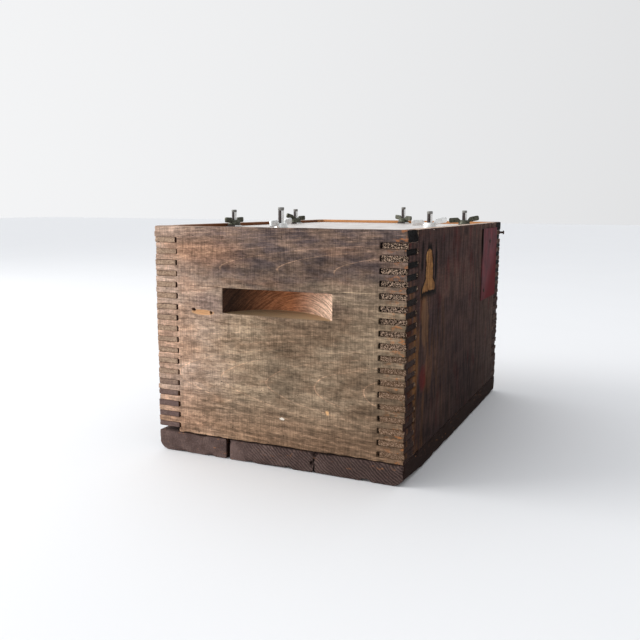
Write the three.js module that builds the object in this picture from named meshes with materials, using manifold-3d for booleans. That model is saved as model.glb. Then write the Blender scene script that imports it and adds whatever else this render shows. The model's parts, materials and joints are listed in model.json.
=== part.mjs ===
// Insulation resistance tester in a finger-jointed wooden case.
// Millimetres. +X is to the right along the end with the hand-hold, +Y runs along the
// case, +Z is up. The origin is the middle of the case's underside.

import * as THREE from 'three';
import { mergeVertices } from 'three/addons/utils/BufferGeometryUtils.js';
import Module from 'manifold-3d';

const wasm = await Module();
wasm.setup();

// ---- driving dimensions -------------------------------------------------------------

const caseWidth = 228.6;
const caseLength = 346.1;
const caseHeight = 198.7;
const boardThickness = 18;
const boardJointX = -43.3;
const boardJointGap = 2.4;
const endWallThickness = 25.4;
const sideWallThickness = 22.2;

const fingerCount = 18;
const fingerPitch = 9.566;
const topFingerZ = 186.7;

const rabbetLip = 8;
const rabbetDepth = 6.4;
const gap = 0.3;
const cutPast = 5; // how far a cutter reaches past the faces it cuts through

const handHold = { x: 2.9, z: 137.3, width: 101.4, height: 21, depth: 19, riseDegrees: 9.5 };

const studRadius = 2.5;
const studEmbed = 29;
const studChamfer = 0.3;

const coverThickness = 3.2;
const coverMargin = 0.5;
const restGap = 0.1;
const washerRadius = 6.9;
const washerThickness = 1.2;

const nutHubRadius = 6;
const nutHubHeight = 5;
const nutBoreRadius = 3.7; // wide, so that the nut clears its stud all round
const wingReach = 15.6;
const wingHeight = 5;
const wingThickness = 2;
const wingRoot = 4.2;
const wingLift = 2.1; // the wings pass above the case's rim as the nut turns
const wingCorner = 1.6;

const sidePlate = { y0: 77, y1: 147, z0: 118, z1: 193, thickness: 0.8 };

const panelThickness = 6;
const panelTop = 150;
const cleatSize = 12;

const meter = {
  x: 0,
  y: -76,
  radius: 42,
  flange: 49,
  depth: 34,
  wall: 2,
  flangeThickness: 2.5,
  dialBelowPanel: 4,
  dialThickness: 1.3,
  dialSeat: 2.5,
  pivotBack: 16,
  glassThickness: 1.8,
  bezelHeight: 3.8,
};
const coil = { fromFloor: 12, height: 14, halfWidth: 9, halfDepth: 3, bar: 2.2 };
const magnet = { inner: 12, outer: 19, mouth: 6 };
const pointer = { length: 46, rootHalf: 0.9, tipHalf: 0.25, tail: 9, tailHalf: 1.1, thickness: 0.6 };
const crank = { x: 0, y: 52, radius: 62 };
const gearModule = 1.25;
const driveTeeth = 60;
const pinionTeeth = 12;
const gearThickness = 6;
const driveGearZ = 126;
const terminals = [
  { name: 'line', x: -72, y: -122 },
  { name: 'earth', x: 72, y: -122 },
];

// ---- derived positions --------------------------------------------------------------

const halfWidth = caseWidth / 2;
const halfLength = caseLength / 2;
const innerX = halfWidth - sideWallThickness;
const innerY = halfLength - endWallThickness;
const ledgeZ = caseHeight - rabbetDepth;
const rabbetX = halfWidth - rabbetLip;
const rabbetY = halfLength - rabbetLip;
const coverBottom = ledgeZ + restGap;
const coverTop = coverBottom + coverThickness;
const washerTop = coverTop + restGap + washerThickness;
const nutBottom = washerTop + restGap;
const panelBottom = panelTop - panelThickness;

// Each stud, with the turn of its wing nut and how far the two wings are bent up, in degrees.
const studs = [
  { name: 'left_front', x: -98, y: -66, top: 211.8, yaw: 88, tilt: [2, 2] },
  { name: 'left_rear', x: -96.2, y: 66, top: 212, yaw: 74, tilt: [2, 14] },
  { name: 'front', x: 0, y: -156.25, top: 214.7, yaw: 84, tilt: [8, -3] },
  { name: 'rear', x: 2.2, y: 156.25, top: 214.7, yaw: -36, tilt: [-3, 6] },
  { name: 'right_front', x: 98.8, y: -66, top: 211.8, yaw: 24, tilt: [12, -3] },
  { name: 'right_rear', x: 97.4, y: 66, top: 211.8, yaw: 24, tilt: [11, -3] },
];

// ---- materials ----------------------------------------------------------------------

function finish(color, roughness, metalness = 0) {
  return new THREE.MeshStandardMaterial({ color, roughness, metalness });
}

const oldWood = finish(0x8f755f, 0.85);
const stainedWood = finish(0x3a2824, 0.7);
const baseWood = finish(0x5a4840, 0.9);
const greySheet = finish(0xb9b4ae, 0.45, 0.6);
const steel = finish(0x8b8b86, 0.35, 1);
const darkSteel = finish(0x4b4a42, 0.5, 1);
const redSheet = finish(0x6a2f31, 0.6, 0.2);
const ebonite = finish(0x15130f, 0.3);
const brass = finish(0xb08d4a, 0.35, 1);
const glass = finish(0xdfe8e6, 0.05);
const dialCard = finish(0xe6dfc8, 0.8);
const magnetSteel = finish(0x39404a, 0.5, 0.8);
const copper = finish(0xa8623a, 0.4, 1);
const castIron = finish(0x2f3134, 0.7, 0.7);

// ---- helpers ------------------------------------------------------------------------

const group = new THREE.Group();

function add(name, geometry, material) {
  const mesh = new THREE.Mesh(geometry, material);
  mesh.name = name;
  group.add(mesh);
  return mesh;
}

function toSolid(geometry) {
  const bare = geometry.clone();
  bare.deleteAttribute('normal');
  bare.deleteAttribute('uv');
  const merged = mergeVertices(bare, 1e-4);
  return new wasm.Manifold(new wasm.Mesh({
    numProp: 3,
    vertProperties: new Float32Array(merged.attributes.position.array),
    triVerts: new Uint32Array(merged.index.array),
  }));
}

function toGeometry(solid) {
  const mesh = solid.getMesh();
  const geometry = new THREE.BufferGeometry();
  geometry.setAttribute('position', new THREE.BufferAttribute(mesh.vertProperties, 3));
  geometry.setIndex(new THREE.BufferAttribute(mesh.triVerts, 1));
  geometry.computeVertexNormals();
  return geometry;
}

function subtract(geometry, ...cutters) {
  let solid = toSolid(geometry);
  for (const cutter of cutters) {
    solid = solid.subtract(toSolid(cutter));
  }
  return toGeometry(solid);
}

function join(geometry, ...others) {
  let solid = toSolid(geometry);
  for (const other of others) {
    solid = solid.add(toSolid(other));
  }
  return toGeometry(solid);
}

function boxBetween(x0, x1, y0, y1, z0, z1) {
  const geometry = new THREE.BoxGeometry(x1 - x0, y1 - y0, z1 - z0);
  geometry.translate((x0 + x1) / 2, (y0 + y1) / 2, (z0 + z1) / 2);
  return geometry;
}

// Upright round bar from z0 to z1.
function bar(x, y, z0, z1, radius, segments = 16) {
  const geometry = new THREE.CylinderGeometry(radius, radius, z1 - z0, segments);
  geometry.rotateX(Math.PI / 2);
  geometry.translate(x, y, (z0 + z1) / 2);
  return geometry;
}

// Upright turned piece: profile is a list of [radius, z] pairs.
function turned(x, y, profile, segments = 20) {
  const points = profile.map(([radius, z]) => new THREE.Vector2(radius, z));
  const geometry = new THREE.LatheGeometry(points, segments);
  geometry.rotateX(Math.PI / 2);
  geometry.translate(x, y, 0);
  return geometry;
}

// Flat ring lying level.
function ring(x, y, z0, z1, inner, outer, segments = 20) {
  return turned(x, y, [[inner, z0], [outer, z0], [outer, z1], [inner, z1], [inner, z0]], segments);
}

function shapeFrom(points) {
  return new THREE.Shape(points.map(([u, v]) => new THREE.Vector2(u, v)));
}

function extruded(shape, depth) {
  return new THREE.ExtrudeGeometry(shape, { depth, bevelEnabled: false, curveSegments: 12 });
}

// A shape drawn in X and Z, from y0 to y1.
function acrossY(points, y0, y1) {
  const geometry = extruded(shapeFrom(points), y1 - y0);
  geometry.rotateX(Math.PI / 2);
  geometry.translate(0, y1, 0);
  return geometry;
}

// A shape drawn in Y and Z, from x0 to x1.
function acrossX(points, x0, x1) {
  const geometry = extruded(shapeFrom(points), x1 - x0);
  const turn = new THREE.Matrix4().makeBasis(
    new THREE.Vector3(0, 1, 0),
    new THREE.Vector3(0, 0, 1),
    new THREE.Vector3(1, 0, 0),
  );
  geometry.applyMatrix4(turn);
  geometry.translate(x0, 0, 0);
  return geometry;
}

// ---- finger-jointed walls -----------------------------------------------------------

const sideFingers = [];
for (let k = fingerCount - 1; k >= 0; k -= 1) {
  const middle = topFingerZ - k * fingerPitch;
  sideFingers.push([middle - fingerPitch / 4 + gap / 2, middle + fingerPitch / 4 - gap / 2]);
}

// The end walls' fingers fill the spaces between the side walls' fingers.
const endFingers = [];
let freeFrom = boardThickness + gap;
for (const [low, high] of sideFingers) {
  endFingers.push([freeFrom, low - gap]);
  freeFrom = high + gap;
}
endFingers.push([freeFrom, ledgeZ]);

// Outline of a wall, with fingers reaching out to +-outer from a body that ends at +-inner.
function fingeredOutline(inner, outer, fingers, bottom, top) {
  const right = [];
  right.push([inner, bottom]);
  for (const [low, high] of fingers) {
    right.push([inner, low], [outer, low], [outer, high], [inner, high]);
  }
  right.push([inner, top]);
  const tidy = right.filter((point, i) => i === 0
    || point[0] !== right[i - 1][0] || point[1] !== right[i - 1][1]);
  const left = tidy.map(([u, v]) => [-u, v]).reverse();
  return [...tidy, ...left];
}

const wallBottom = boardThickness + gap;
const endOutline = fingeredOutline(innerX - gap, halfWidth, endFingers, wallBottom, ledgeZ);
const sideOutline = fingeredOutline(innerY - gap, halfLength, sideFingers, wallBottom, ledgeZ);

const overTop = caseHeight + cutPast;
const studBores = studs.map(({ x, y }) => (
  bar(x, y, ledgeZ - studEmbed - gap, overTop, studRadius + gap)
));

// Hand-hold: an upright round scoop between a floor and a roof that rise inwards.
function handHoldCutter(side) {
  const half = handHold.width / 2;
  const scoopRadius = (half * half + handHold.depth * handHold.depth) / (2 * handHold.depth);
  const reach = 4 * handHold.depth;
  const scoop = bar(0, -(scoopRadius - handHold.depth), -reach, reach, scoopRadius, 96);
  const slab = new THREE.BoxGeometry(3 * handHold.width, reach, handHold.height);
  slab.rotateX(THREE.MathUtils.degToRad(handHold.riseDegrees));
  const cutter = toGeometry(toSolid(scoop).intersect(toSolid(slab)));
  cutter.translate(0, -halfLength, handHold.z);
  if (side > 0) {
    cutter.rotateZ(Math.PI);
  }
  cutter.translate(handHold.x, 0, 0);
  return cutter;
}

const nail = { y: 167, z: topFingerZ, radius: 1.2, headRadius: 2.3, inside: 20, outside: 5 };
const nailHole = new THREE.CylinderGeometry(nail.radius + gap, nail.radius + gap, 40, 16);
nailHole.rotateZ(Math.PI / 2);
nailHole.translate(halfWidth - 2, nail.y, nail.z);

const frontWall = subtract(
  acrossY(endOutline, -halfLength, -halfLength + endWallThickness),
  handHoldCutter(-1),
  ...studBores,
);
const backWall = subtract(
  acrossY(endOutline, halfLength - endWallThickness, halfLength),
  handHoldCutter(1),
  ...studBores,
);
const leftWall = subtract(
  acrossX(sideOutline, -halfWidth, -halfWidth + sideWallThickness),
  ...studBores,
);
const rightWall = subtract(
  acrossX(sideOutline, halfWidth - sideWallThickness, halfWidth),
  nailHole,
  ...studBores,
);
add('front_wall', frontWall, oldWood);
add('back_wall', backWall, oldWood);
add('left_wall', leftWall, stainedWood);
add('right_wall', rightWall, stainedWood);

// The lip around the cover is cut from the same boards. Its four straight strips are bodies
// of their own, so that the space inside them stays open.
const lipZ0 = ledgeZ + restGap;
const lipY = rabbetY - gap;
add(
  'rim_front',
  boxBetween(-halfWidth, halfWidth, -halfLength, -rabbetY, lipZ0, caseHeight),
  oldWood,
);
add('rim_back', boxBetween(-halfWidth, halfWidth, rabbetY, halfLength, lipZ0, caseHeight), oldWood);
add('rim_left', boxBetween(-halfWidth, -rabbetX, -lipY, lipY, lipZ0, caseHeight), stainedWood);
add('rim_right', boxBetween(rabbetX, halfWidth, -lipY, lipY, lipZ0, caseHeight), stainedWood);

// ---- bottom boards ------------------------------------------------------------------

const jointLeft = boardJointX - boardJointGap / 2;
const jointRight = boardJointX + boardJointGap / 2;
add(
  'bottom_board_left',
  boxBetween(-halfWidth, jointLeft, -halfLength, halfLength, 0, boardThickness),
  baseWood,
);
add(
  'bottom_board_right',
  boxBetween(jointRight, halfWidth, -halfLength, halfLength, 0, boardThickness),
  baseWood,
);

// ---- cover plate and fastenings ------------------------------------------------------

const coverX = rabbetX - coverMargin;
const coverY = rabbetY - coverMargin;
add('cover_plate', subtract(
  boxBetween(-coverX, coverX, -coverY, coverY, coverBottom, coverTop),
  ...studs.map(({ x, y }) => bar(x, y, ledgeZ - cutPast, overTop, studRadius + 0.5)),
), greySheet);

// Wing of a nut: an upright rounded plate along +X, tilted up by tiltDegrees.
function wing(tiltDegrees) {
  const outer = wingReach - wingCorner;
  const outline = new THREE.Shape();
  outline.moveTo(wingRoot, 0);
  outline.lineTo(outer, 0);
  outline.quadraticCurveTo(wingReach, 0, wingReach, wingCorner);
  outline.lineTo(wingReach, wingHeight - wingCorner);
  outline.quadraticCurveTo(wingReach, wingHeight, outer, wingHeight);
  outline.lineTo(wingRoot + 2.4, wingHeight);
  outline.lineTo(wingRoot, wingHeight - 2.2);
  const options = { depth: wingThickness, bevelEnabled: false, curveSegments: 4 };
  const geometry = new THREE.ExtrudeGeometry(outline, options);
  geometry.rotateX(Math.PI / 2);
  geometry.translate(0, wingThickness / 2, 0);
  const tilt = THREE.MathUtils.degToRad(tiltDegrees);
  geometry.rotateY(-tilt);
  // A wing bent down starts higher, so that its tip keeps the lift.
  geometry.translate(0, 0, wingLift + Math.max(0, -Math.sin(tilt)) * wingReach);
  return geometry;
}

function wingNut({ x, y, yaw, tilt }) {
  const hub = turned(0, 0, [
    [0, 0],
    [nutHubRadius, 0],
    [nutHubRadius, 1.4],
    [nutHubRadius - 1.4, nutHubHeight],
    [0, nutHubHeight],
  ]);
  const farWing = wing(tilt[1]);
  farWing.rotateZ(Math.PI);
  const blank = join(hub, wing(tilt[0]), farWing);
  const nut = subtract(blank, bar(0, 0, -1, 20, nutBoreRadius));
  nut.rotateZ(THREE.MathUtils.degToRad(yaw));
  nut.translate(x, y, nutBottom);
  return nut;
}

for (const stud of studs) {
  const { name, x, y, top } = stud;
  const bottom = ledgeZ - studEmbed;
  add(`stud_${name}`, turned(x, y, [
    [0, bottom],
    [studRadius, bottom],
    [studRadius, top - studChamfer],
    [studRadius - studChamfer, top],
    [0, top],
  ], 16), steel);
  add(
    `washer_${name}`,
    ring(x, y, coverTop + restGap, washerTop, studRadius + 0.3, washerRadius),
    steel,
  );
  add(`wing_nut_${name}`, wingNut(stud), darkSteel);
}

// ---- plate and nail on the right side ------------------------------------------------

const tackRadius = 0.9;
const tackHeadRadius = 1.8;
const tackHeadThickness = 0.8;
const tackDepth = 11;
const tackPlaces = [
  { name: 'upper', y: sidePlate.y0 + 34, z: sidePlate.z1 - 14 },
  { name: 'lower', y: sidePlate.y0 + 10, z: sidePlate.z0 + 10 },
];

// A tack or nail along X, with its head outside.
function sidewaysNail(y, z, shankRadius, headRadius, tipX, headX, headThickness) {
  const geometry = new THREE.LatheGeometry([
    new THREE.Vector2(0, tipX),
    new THREE.Vector2(shankRadius, tipX + 3),
    new THREE.Vector2(shankRadius, headX - headThickness),
    new THREE.Vector2(headRadius, headX - headThickness),
    new THREE.Vector2(headRadius * 0.8, headX),
    new THREE.Vector2(0, headX),
  ], 16);
  geometry.rotateZ(-Math.PI / 2);
  geometry.translate(0, y, z);
  return geometry;
}

function sidewaysBore(y, z, radius, x0, x1) {
  const geometry = new THREE.CylinderGeometry(radius, radius, x1 - x0, 16);
  geometry.rotateZ(Math.PI / 2);
  geometry.translate((x0 + x1) / 2, y, z);
  return geometry;
}

const plateX0 = halfWidth + restGap;
const plateX1 = plateX0 + sidePlate.thickness;
add('side_plate', subtract(
  boxBetween(plateX0, plateX1, sidePlate.y0, sidePlate.y1, sidePlate.z0, sidePlate.z1),
  ...tackPlaces.map(({ y, z }) => (
    sidewaysBore(y, z, tackRadius + gap, halfWidth - cutPast, halfWidth + cutPast)
  )),
), redSheet);

const rightWallMesh = group.getObjectByName('right_wall');
rightWallMesh.geometry = subtract(
  rightWall,
  ...tackPlaces.map(({ y, z }) => (
    sidewaysBore(y, z, tackRadius + gap, halfWidth - tackDepth - 1, halfWidth + cutPast)
  )),
);
for (const { name, y, z } of tackPlaces) {
  add(`side_plate_tack_${name}`, sidewaysNail(
    y, z, tackRadius, tackHeadRadius, halfWidth - tackDepth,
    plateX1 + restGap + tackHeadThickness, tackHeadThickness,
  ), darkSteel);
}
add('corner_nail', sidewaysNail(
  nail.y, nail.z, nail.radius, nail.headRadius, halfWidth - nail.inside, halfWidth + nail.outside, 1,
), darkSteel);

// ---- instrument panel and its cleats -------------------------------------------------

for (const [name, side] of [['left', -1], ['right', 1]]) {
  const outerX = side * (innerX - gap);
  const innerEdge = side * (innerX - gap - cleatSize);
  add(`cleat_${name}`, boxBetween(
    Math.min(outerX, innerEdge),
    Math.max(outerX, innerEdge),
    -innerY + gap,
    innerY - gap,
    panelBottom - restGap - cleatSize,
    panelBottom - restGap,
  ), baseWood);
}

const panelX = innerX - gap;
const panelY = innerY - gap;
const crankShaftRadius = 4;
const crankBearingRadius = crankShaftRadius + 0.1;
const postRadius = 3;
const screwRadius = 1.6;
const screwPlaces = [];
for (const sx of [-1, 1]) {
  for (const sy of [-1, 1]) {
    const name = `${sy < 0 ? 'front' : 'rear'}_${sx < 0 ? 'left' : 'right'}`;
    screwPlaces.push({ name, x: sx * (panelX - cleatSize / 2), y: sy * (panelY - 9) });
  }
}

function throughPanel({ x, y }, radius, segments = 20) {
  return bar(x, y, panelBottom - cutPast, panelTop + cutPast, radius, segments);
}

add('instrument_panel', subtract(
  boxBetween(-panelX, panelX, -panelY, panelY, panelBottom, panelTop),
  throughPanel(meter, meter.radius + gap, 40),
  throughPanel(crank, crankBearingRadius),
  ...terminals.map((place) => throughPanel(place, postRadius + gap)),
  ...screwPlaces.map((place) => throughPanel(place, screwRadius + gap, 16)),
), ebonite);

const screwLength = 14;
const screwHead = { radius: 3.4, height: 2.3, slot: 0.8 };
for (const name of ['left', 'right']) {
  const cleat = group.getObjectByName(`cleat_${name}`);
  cleat.geometry = subtract(cleat.geometry, ...screwPlaces.map(({ x, y }) => (
    bar(x, y, panelTop - screwLength - gap, panelTop + cutPast, screwRadius + gap, 16)
  )));
}
for (const { name, x, y } of screwPlaces) {
  const z0 = panelTop + restGap;
  const head = turned(x, y, [
    [0, panelTop - screwLength],
    [screwRadius, panelTop - screwLength + 2],
    [screwRadius, z0],
    [screwHead.radius, z0],
    [screwHead.radius - 0.8, z0 + screwHead.height - 0.5],
    [0, z0 + screwHead.height],
  ], 20);
  const slot = boxBetween(
    x - cutPast, x + cutPast, y - screwHead.slot / 2, y + screwHead.slot / 2,
    z0 + screwHead.height / 2, z0 + cutPast,
  );
  add(`panel_screw_${name}`, subtract(head, slot), brass);
}

// ---- terminals -----------------------------------------------------------------------

const terminalTail = 14;
const terminalBase = { radius: 8, height: 4 };
const terminalPostHeight = 26;
const thumbNut = { knurls: 20, low: 7.6, high: 8.2, height: 9, collar: 6, collarHeight: 3.5 };
for (const { name, x, y } of terminals) {
  const seat = panelTop + restGap;
  const baseTop = seat + terminalBase.height;
  add(`terminal_${name}`, turned(x, y, [
    [0, panelBottom - terminalTail],
    [postRadius, panelBottom - terminalTail],
    [postRadius, seat],
    [terminalBase.radius, seat],
    [terminalBase.radius, baseTop],
    [postRadius, baseTop],
    [postRadius, seat + terminalPostHeight],
    [0, seat + terminalPostHeight],
  ]), brass);
  const nutZ = baseTop + restGap;
  const knob = [];
  for (let i = 0; i < thumbNut.knurls * 2; i += 1) {
    const angle = (i / (thumbNut.knurls * 2)) * Math.PI * 2;
    const radius = i % 2 ? thumbNut.low : thumbNut.high;
    knob.push([x + radius * Math.cos(angle), y + radius * Math.sin(angle)]);
  }
  const grip = extruded(shapeFrom(knob), thumbNut.height);
  grip.translate(0, 0, nutZ + thumbNut.collarHeight - 0.5);
  const collar = bar(x, y, nutZ, nutZ + thumbNut.collarHeight, thumbNut.collar, 20);
  add(
    `terminal_nut_${name}`,
    subtract(join(grip, collar), bar(x, y, nutZ - cutPast, nutZ + 20, postRadius + 0.1)),
    brass,
  );
}

// ---- meter ---------------------------------------------------------------------------

const meterSeat = panelTop + restGap;
const meterFloor = panelBottom - meter.depth;
const flangeTop = meterSeat + meter.flangeThickness;
const caseInner = meter.radius - meter.wall;
const dialZ = panelTop - meter.dialBelowPanel;
const dialSeatZ = dialZ - meter.dialThickness - gap;
const pivotY = meter.y - meter.pivotBack;
const spindleRadius = 1;

add('meter_case', turned(meter.x, meter.y, [
  [0, meterFloor],
  [meter.radius, meterFloor],
  [meter.radius, meterSeat],
  [meter.flange, meterSeat],
  [meter.flange, flangeTop],
  [caseInner, flangeTop],
  [caseInner, dialSeatZ],
  [caseInner - meter.dialSeat, dialSeatZ],
  [caseInner - meter.dialSeat, meterFloor + meter.wall],
  [0, meterFloor + meter.wall],
], 40), ebonite);

add('meter_dial', subtract(
  bar(meter.x, meter.y, dialZ - meter.dialThickness, dialZ, caseInner - gap, 40),
  bar(meter.x, pivotY, dialZ - cutPast, dialZ + cutPast, spindleRadius + 1, 20),
), dialCard);

// Coil: a flat frame on the spindle, with a window on each side of it.
const coilZ0 = meterFloor + coil.fromFloor;
const coilZ1 = coilZ0 + coil.height;
function coilWindow(side) {
  const near = meter.x + side * (spindleRadius + gap);
  const far = meter.x + side * (coil.halfWidth - coil.bar);
  return boxBetween(
    Math.min(near, far), Math.max(near, far),
    pivotY - coil.halfDepth - cutPast, pivotY + coil.halfDepth + cutPast,
    coilZ0 + coil.bar, coilZ1 - coil.bar,
  );
}
add('moving_coil', subtract(
  boxBetween(
    meter.x - coil.halfWidth, meter.x + coil.halfWidth,
    pivotY - coil.halfDepth, pivotY + coil.halfDepth, coilZ0, coilZ1,
  ),
  coilWindow(-1),
  coilWindow(1),
  bar(meter.x, pivotY, coilZ0 - cutPast, coilZ1 + cutPast, spindleRadius + gap / 2, 20),
), copper);

const needleZ = dialZ + 1.6 + pointer.thickness;
const needle = acrossY([
  [-pointer.rootHalf, 0],
  [pointer.rootHalf, 0],
  [pointer.tipHalf, pointer.length],
  [-pointer.tipHalf, pointer.length],
], 0, pointer.thickness);
needle.rotateX(-Math.PI / 2);
needle.translate(meter.x, pivotY, needleZ);
const needleTail = boxBetween(
  meter.x - pointer.tailHalf, meter.x + pointer.tailHalf,
  pivotY - pointer.tail, pivotY, needleZ - pointer.thickness, needleZ,
);
add('meter_pointer', join(
  bar(meter.x, pivotY, meterFloor + meter.wall + 1, dialZ + 3, spindleRadius, 20),
  needle,
  needleTail,
), darkSteel);

add('meter_magnet', subtract(
  ring(meter.x, pivotY, coilZ0 - 1, coilZ1 + 1, magnet.inner, magnet.outer, 32),
  boxBetween(
    meter.x - magnet.mouth, meter.x + magnet.mouth, pivotY, pivotY + magnet.outer + cutPast,
    coilZ0 - cutPast, coilZ1 + cutPast,
  ),
), magnetSteel);

const glassBottom = flangeTop + restGap;
const glassTop = glassBottom + meter.glassThickness;
const bezelTop = glassBottom + meter.bezelHeight;
const bezelBore = meter.radius - 0.2;
const bezelLip = meter.radius - 2.5;
add('meter_glass', bar(meter.x, meter.y, glassBottom, glassTop, bezelBore - gap, 40), glass);
add('meter_bezel', turned(meter.x, meter.y, [
  [bezelBore, glassBottom],
  [meter.flange, glassBottom],
  [meter.flange, glassBottom + 1.6],
  [meter.flange - 3, bezelTop],
  [bezelLip, bezelTop],
  [bezelLip, glassTop + 0.2],
  [bezelBore, glassTop + 0.2],
  [bezelBore, glassBottom],
], 40), brass);

// ---- hand generator ------------------------------------------------------------------

// Spur gear outline with straight-flanked teeth, thinned a little for backlash.
function gearOutline(teeth, turnBy) {
  const pitchRadius = (gearModule * teeth) / 2;
  const tip = pitchRadius + gearModule * 0.8;
  const root = pitchRadius - gearModule * 1.1;
  const pitch = (Math.PI * 2) / teeth;
  const points = [];
  for (let i = 0; i < teeth; i += 1) {
    const middle = i * pitch + turnBy;
    for (const [radius, share] of [[root, -0.31], [tip, -0.1], [tip, 0.1], [root, 0.31]]) {
      const angle = middle + share * pitch;
      points.push([radius * Math.cos(angle), radius * Math.sin(angle)]);
    }
  }
  return points;
}

function gear(x, y, z0, teeth, turnBy) {
  const geometry = extruded(shapeFrom(gearOutline(teeth, turnBy)), gearThickness);
  geometry.translate(x, y, z0);
  return geometry;
}

const runningGap = 0.1; // a shaft turns in its bearing
const pressGap = 0.2; // a wheel or core fixed on its shaft, kept apart from it as a body of its own
const gearDistance = (gearModule * (driveTeeth + pinionTeeth)) / 2;
const armatureX = crank.x + gearDistance;
const frameFloor = boardThickness + gap;
const frameTop = driveGearZ - 4;
const frameBar = 8;

function bore({ x, y }, z0, z1, radius, segments = 20) {
  return bar(x, y, z0 - cutPast, z1 + cutPast, radius, segments);
}
const armaturePlace = { x: armatureX, y: crank.y };

// Drive gear: a tooth faces +X at the pinion, where the pinion has a gap.
const gearTop = driveGearZ + gearThickness;
add('drive_gear', subtract(
  gear(crank.x, crank.y, driveGearZ, driveTeeth, 0),
  bore(crank, driveGearZ, gearTop, crankShaftRadius + pressGap),
), brass);
const pinionShift = Math.PI + Math.PI / pinionTeeth;
const armatureShaftRadius = 3;
add('pinion', subtract(
  gear(armatureX, crank.y, driveGearZ, pinionTeeth, pinionShift),
  bore(armaturePlace, driveGearZ, gearTop, armatureShaftRadius + pressGap, 16),
), steel);

const arm = { bottom: panelTop + 8, thickness: 5, half: 7, hub: 10 };
const armTop = arm.bottom + arm.thickness;
const collarRadius = crankShaftRadius + 3;
const crankShaftBottom = frameTop - frameBar - 6;
add('crank_shaft', turned(crank.x, crank.y, [
  [0, crankShaftBottom],
  [crankShaftRadius, crankShaftBottom],
  [crankShaftRadius, panelTop + 4],
  [collarRadius, panelTop + 4],
  [collarRadius, arm.bottom - restGap],
  [crankShaftRadius, arm.bottom - restGap],
  [crankShaftRadius, armTop + 3],
  [0, armTop + 3],
]), steel);

const knob = { height: 20, foot: 7, belly: 9.5, top: 7.5, pin: 3, lift: 0.4 };
const knobPlace = { x: crank.x, y: crank.y + crank.radius };
const knobZ = armTop + knob.lift;
add('crank_arm', subtract(
  join(
    boxBetween(crank.x - arm.half, crank.x + arm.half, crank.y, knobPlace.y, arm.bottom, armTop),
    bar(crank.x, crank.y, arm.bottom, armTop, arm.hub, 24),
    bar(knobPlace.x, knobPlace.y, arm.bottom, armTop, arm.half, 24),
    bar(knobPlace.x, knobPlace.y, arm.bottom + 1, knobZ + knob.height + 3.6, knob.pin),
  ),
  bore(crank, arm.bottom, armTop, crankShaftRadius + pressGap),
), steel);
add('crank_knob', subtract(
  turned(knobPlace.x, knobPlace.y, [
    [0, knobZ],
    [knob.foot, knobZ],
    [knob.belly, knobZ + knob.height * 0.25],
    [knob.belly, knobZ + knob.height * 0.7],
    [knob.top, knobZ + knob.height],
    [0, knobZ + knob.height],
  ], 24),
  bore(knobPlace, knobZ, knobZ + knob.height, knob.pin + runningGap, 16),
), ebonite);

// Frame: a bracket open on one side, carrying both shafts between its plates.
const frameX0 = crank.x - 14;
const frameX1 = armatureX + 14;
const frameY0 = crank.y - 20;
const frameY1 = crank.y + 42;
const armatureShaftBottom = frameFloor + 3;
add('generator_frame', subtract(
  boxBetween(frameX0, frameX1, frameY0, frameY1, frameFloor, frameTop),
  boxBetween(
    frameX0 - cutPast, frameX1 + cutPast, frameY0 - cutPast, frameY1 - frameBar,
    frameFloor + frameBar, frameTop - frameBar,
  ),
  bore(crank, frameTop - frameBar, frameTop, crankShaftRadius + runningGap),
  bar(armatureX, crank.y, armatureShaftBottom - 1, frameTop + cutPast, armatureShaftRadius + runningGap),
), castIron);

// Armature core: a round block with slots for its windings.
const armatureCore = { radius: 17, slots: 10, slotDepth: 5, above: 14, below: 12 };
const armatureZ0 = frameFloor + frameBar + armatureCore.above;
const armatureZ1 = frameTop - frameBar - armatureCore.below;
const slotFloor = armatureCore.radius - armatureCore.slotDepth;
const coreOutline = [];
for (let i = 0; i < armatureCore.slots; i += 1) {
  for (const [radius, share] of [
    [slotFloor, -0.5], [slotFloor, -0.32],
    [armatureCore.radius, -0.26], [armatureCore.radius, 0], [armatureCore.radius, 0.26],
    [slotFloor, 0.32],
  ]) {
    const angle = ((i + share) / armatureCore.slots) * Math.PI * 2;
    coreOutline.push([armatureX + radius * Math.cos(angle), crank.y + radius * Math.sin(angle)]);
  }
}
const coreBlock = extruded(shapeFrom(coreOutline), armatureZ1 - armatureZ0);
coreBlock.translate(0, 0, armatureZ0);
add('armature', subtract(
  coreBlock,
  bore(armaturePlace, armatureZ0, armatureZ1, armatureShaftRadius + pressGap, 16),
), copper);
add(
  'armature_shaft',
  bar(armatureX, crank.y, armatureShaftBottom, gearTop, armatureShaftRadius),
  steel,
);

// Field magnet: a thick ring around the armature, open towards the front.
const field = { inner: armatureCore.radius + 1.2, outer: 27, mouth: 9 };
add('field_magnet', subtract(
  ring(armatureX, crank.y, armatureZ0, armatureZ1, field.inner, field.outer, 32),
  boxBetween(
    armatureX - field.mouth, armatureX + field.mouth, crank.y - field.outer - cutPast, crank.y,
    armatureZ0 - cutPast, armatureZ1 + cutPast,
  ),
), magnetSteel);

export default group;
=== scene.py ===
"""Looks of an old insulation tester in a finger-jointed wooden case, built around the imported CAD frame."""

import itertools
import json
import math

import bmesh
import bpy
import numpy as np
from mathutils import Matrix, Vector


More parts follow.
